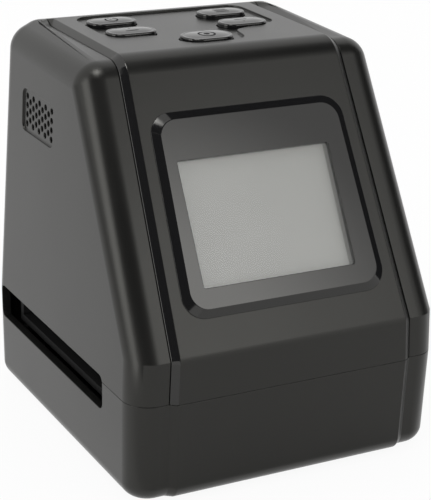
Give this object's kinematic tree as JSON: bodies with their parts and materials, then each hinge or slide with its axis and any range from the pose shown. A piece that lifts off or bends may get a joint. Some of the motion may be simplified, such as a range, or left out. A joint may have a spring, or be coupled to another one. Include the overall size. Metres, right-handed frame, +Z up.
{
  "type": "film negative scanner",
  "caption": "Upright desktop film scanner with a film slot through its foot, a sloping front with an inset display, a raised wrap-around centre band and glossy press keys on top.",
  "frame": {"origin": "centre of the footprint, on the plane that the rubber feet stand on", "axes": "+X to the right of someone facing the display, -Y the front that the display leans back from, +Z up"},
  "size_m": [0.0888, 0.0945, 0.1055],
  "materials": {
    "charcoal_shell": "satin, fine even grain, charcoal black",
    "gloss_black": "polished black",
    "window_pane": "clear and glossy",
    "display_grey": "smooth mid grey, unlit",
    "pressed_steel": "plain pressed sheet",
    "switch_black": "moulded",
    "circuit_board": "green solder mask",
    "chip_black": "moulded, dull",
    "inner_black": "dull black against stray light",
    "diffuser_white": "frosted white",
    "white_plastic": "dull white",
    "led_yellow": "phosphor yellow",
    "lens_glass": "coated optical glass",
    "ribbon_white": "smooth",
    "lead_red": "soft insulation",
    "foot_rubber": "dull",
    "screw_steel": "plated"
  },
  "bodies": {
    "scanner": {"upper_housing": "charcoal_shell", "front_cover": "charcoal_shell", "base_housing": "charcoal_shell", "screen_bezel": "gloss_black", "screen_lens": "window_pane", "lcd_module": "display_grey", "lcd_frame": "pressed_steel", "key_board": "circuit_board", "key_switches": "pressed_steel", "main_board": "circuit_board", "main_board_chips": "chip_black", "sd_card_socket": "pressed_steel", "usb_socket": "pressed_steel", "film_guide": "inner_black", "film_bed": "inner_black", "diffuser": "diffuser_white", "light_box": "white_plastic", "led_board": "white_plastic", "backlight_leds": "led_yellow", "light_shroud": "inner_black", "lens_barrel": "inner_black", "lens_elements": "lens_glass", "sensor_holder": "inner_black", "sensor_board": "circuit_board", "image_sensor": "lens_glass", "lcd_ribbon": "ribbon_white", "camera_ribbon": "ribbon_white", "keys_ribbon": "ribbon_white", "light_cable": "lead_red", "rubber_feet": "foot_rubber", "housing_screws": "screw_steel", "cover_screws": "screw_steel", "key_board_screws": "screw_steel", "lcd_frame_screws": "screw_steel", "main_board_screws": "screw_steel", "bed_screws": "screw_steel", "guide_screws": "screw_steel", "shroud_screws": "screw_steel", "camera_screws": "screw_steel"},
    "power_key": {"power_button": "gloss_black", "power_plunger": "switch_black"},
    "mode_key": {"mode_button": "gloss_black", "mode_plunger": "switch_black"},
    "left_key": {"left_button": "gloss_black", "left_plunger": "switch_black"},
    "right_key": {"right_button": "gloss_black", "right_plunger": "switch_black"},
    "ok_key": {"ok_button": "gloss_black", "ok_plunger": "switch_black"}
  },
  "joints": [
    {"name": "power_press", "type": "slide", "parent": "scanner", "child": "power_key", "axis": [0, 0, -1], "range_m": [0, 0.0004], "stiffness_N_per_m": 800, "springref_m": -0.0005},
    {"name": "mode_press", "type": "slide", "parent": "scanner", "child": "mode_key", "axis": [0, 0, -1], "range_m": [0, 0.0004], "stiffness_N_per_m": 800, "springref_m": -0.0005},
    {"name": "left_press", "type": "slide", "parent": "scanner", "child": "left_key", "axis": [0, 0, -1], "range_m": [0, 0.0004], "stiffness_N_per_m": 800, "springref_m": -0.0005},
    {"name": "right_press", "type": "slide", "parent": "scanner", "child": "right_key", "axis": [0, 0, -1], "range_m": [0, 0.0004], "stiffness_N_per_m": 800, "springref_m": -0.0005},
    {"name": "ok_press", "type": "slide", "parent": "scanner", "child": "ok_key", "axis": [0, 0, -1], "range_m": [0, 0.0004], "stiffness_N_per_m": 800, "springref_m": -0.0005}
  ]
}
